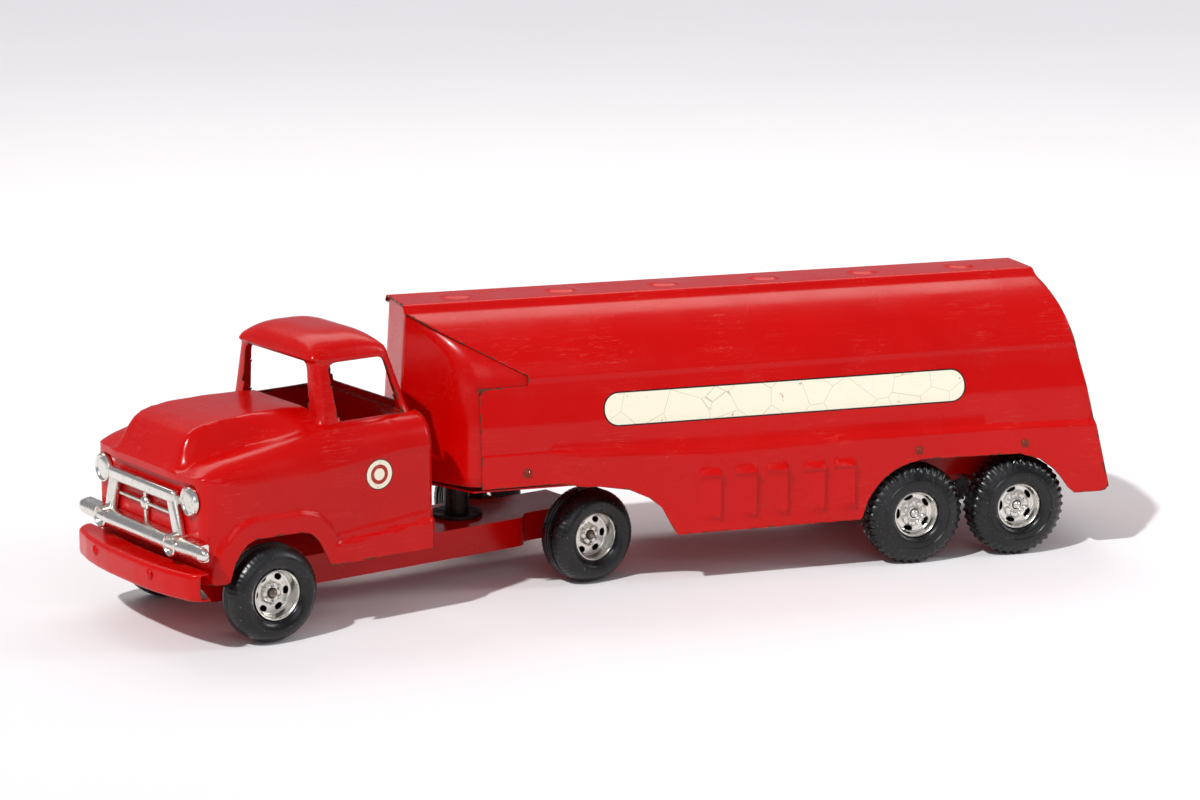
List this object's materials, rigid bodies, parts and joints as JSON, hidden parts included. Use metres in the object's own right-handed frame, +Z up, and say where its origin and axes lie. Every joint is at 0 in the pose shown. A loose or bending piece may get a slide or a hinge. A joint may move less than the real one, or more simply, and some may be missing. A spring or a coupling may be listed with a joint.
{
  "type": "toy tanker truck",
  "caption": "Pressed-steel toy tractor with an open-window cab and plated grille, pulling a ribbed tank trailer that turns on its fifth wheel and rolls on rubber tyres.",
  "frame": {"origin": "bottom centre of the box of the whole truck as it stands, tractor turned 17.9 degrees to the left", "axes": "+X along the trailer towards its nose, +Y to the left side of the truck, +Z up"},
  "size_m": [0.6116, 0.2204, 0.1656],
  "materials": {
    "red_enamel": "glossy baked enamel with fine scratches and chipped edges",
    "plated_plastic": "vacuum-plated plastic, slightly yellowed",
    "plated_steel": "bright plated steel, dulled in the dish",
    "bare_steel": "bare steel with light rust",
    "tyre_rubber": "dusty black moulded rubber"
  },
  "bodies": {
    "trailer": {"tank_shell": "red_enamel", "nose_panel": "red_enamel", "rear_end_panel": "red_enamel", "trailer_floor_pan": "red_enamel", "bolster_plate": "bare_steel", "kingpin": "bare_steel", "tandem_axle_bracket": "red_enamel", "side_screw_front_left": "bare_steel", "side_screw_front_right": "bare_steel", "side_screw_middle_left": "bare_steel", "side_screw_middle_right": "bare_steel", "side_screw_rear_left": "bare_steel", "side_screw_rear_right": "bare_steel", "tandem_front_axle": "bare_steel", "tandem_front_left_axle_cap": "bare_steel", "tandem_front_right_axle_cap": "bare_steel", "tandem_rear_axle": "bare_steel", "tandem_rear_left_axle_cap": "bare_steel", "tandem_rear_right_axle_cap": "bare_steel"},
    "tractor": {"cab_body": "red_enamel", "cab_back_panel": "red_enamel", "tractor_chassis": "red_enamel", "fifth_wheel": "bare_steel", "front_bumper": "red_enamel", "bumper_rivet_left": "bare_steel", "bumper_rivet_right": "bare_steel", "grille_moulding": "plated_plastic", "front_axle": "bare_steel", "front_left_axle_cap": "bare_steel", "front_right_axle_cap": "bare_steel", "drive_axle": "bare_steel", "drive_left_axle_cap": "bare_steel", "drive_right_axle_cap": "bare_steel"},
    "front_left_wheel": {"front_left_rim": "plated_steel", "front_left_tyre": "tyre_rubber"},
    "front_right_wheel": {"front_right_rim": "plated_steel", "front_right_tyre": "tyre_rubber"},
    "drive_left_wheel": {"drive_left_rim": "plated_steel", "drive_left_tyre": "tyre_rubber"},
    "drive_right_wheel": {"drive_right_rim": "plated_steel", "drive_right_tyre": "tyre_rubber"},
    "tandem_front_left_wheel": {"tandem_front_left_rim": "plated_steel", "tandem_front_left_tyre": "tyre_rubber"},
    "tandem_front_right_wheel": {"tandem_front_right_rim": "plated_steel", "tandem_front_right_tyre": "tyre_rubber"},
    "tandem_rear_left_wheel": {"tandem_rear_left_rim": "plated_steel", "tandem_rear_left_tyre": "tyre_rubber"},
    "tandem_rear_right_wheel": {"tandem_rear_right_rim": "plated_steel", "tandem_rear_right_tyre": "tyre_rubber"}
  },
  "joints": [
    {"name": "fifth_wheel_turn", "type": "hinge", "parent": "trailer", "child": "tractor", "pos_m": [0.08228, -0.02161, 0.056], "axis": [0, 0, 1], "range_deg": [-62.9, 27.1]},
    {"name": "front_left_wheel_spin", "type": "hinge", "parent": "tractor", "child": "front_left_wheel", "pos_m": [0.21742, 0.0851, 0.0276], "axis": [-0.3074, 0.9516, 0], "continuous": true},
    {"name": "front_right_wheel_spin", "type": "hinge", "parent": "tractor", "child": "front_right_wheel", "pos_m": [0.25431, -0.02909, 0.0276], "axis": [-0.3074, 0.9516, 0], "continuous": true},
    {"name": "drive_left_wheel_spin", "type": "hinge", "parent": "tractor", "child": "drive_left_wheel", "pos_m": [0.0134, 0.0192, 0.0276], "axis": [-0.3074, 0.9516, 0], "continuous": true},
    {"name": "drive_right_wheel_spin", "type": "hinge", "parent": "tractor", "child": "drive_right_wheel", "pos_m": [0.05028, -0.09499, 0.0276], "axis": [-0.3074, 0.9516, 0], "continuous": true},
    {"name": "tandem_front_left_wheel_spin", "type": "hinge", "parent": "trailer", "child": "tandem_front_left_wheel", "pos_m": [-0.18142, 0.03839, 0.0303], "axis": [0, 1, 0], "continuous": true},
    {"name": "tandem_front_right_wheel_spin", "type": "hinge", "parent": "trailer", "child": "tandem_front_right_wheel", "pos_m": [-0.18142, -0.08161, 0.0303], "axis": [0, 1, 0], "continuous": true},
    {"name": "tandem_rear_left_wheel_spin", "type": "hinge", "parent": "trailer", "child": "tandem_rear_left_wheel", "pos_m": [-0.24772, 0.03839, 0.0303], "axis": [0, 1, 0], "continuous": true},
    {"name": "tandem_rear_right_wheel_spin", "type": "hinge", "parent": "trailer", "child": "tandem_rear_right_wheel", "pos_m": [-0.24772, -0.08161, 0.0303], "axis": [0, 1, 0], "continuous": true}
  ]
}
